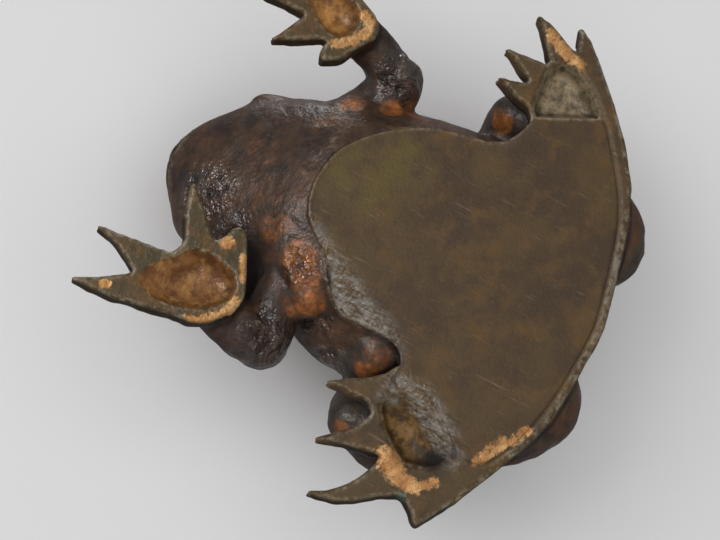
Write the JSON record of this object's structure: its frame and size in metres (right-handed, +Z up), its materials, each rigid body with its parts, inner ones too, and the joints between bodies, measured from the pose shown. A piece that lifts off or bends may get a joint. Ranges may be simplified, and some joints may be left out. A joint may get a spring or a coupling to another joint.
{
  "type": "cast bronze sitting frog figure",
  "caption": "Free-standing cast bronze frog with a hollow body, a flat closing plate underneath and cupped, clawed feet; stands on its soles and rim.",
  "frame": {"origin": "centre of the frog's box, on the surface that it stands on", "axes": "+Z up, the frog faces -Y, its left side is +X"},
  "size_m": [0.1394, 0.1276, 0.0572],
  "materials": {
    "body_shell": "dark brown patinated cast bronze, pitted, semi-gloss",
    "base_plate": "flat olive-brown patinated bronze, finely scratched",
    "front_leg_left": "dark brown patinated cast bronze, worn to gold on the sole rim",
    "front_leg_right": "dark brown patinated cast bronze, worn to gold on the sole rim",
    "hind_leg_left": "dark brown patinated cast bronze, worn to gold on toes and rim",
    "hind_leg_right": "dark brown patinated cast bronze, worn to gold on toes and rim"
  },
  "bodies": {
    "root": {"body_shell": "body_shell", "base_plate": "base_plate", "front_leg_left": "front_leg_left", "front_leg_right": "front_leg_right", "hind_leg_left": "hind_leg_left", "hind_leg_right": "hind_leg_right"}
  },
  "joints": []
}
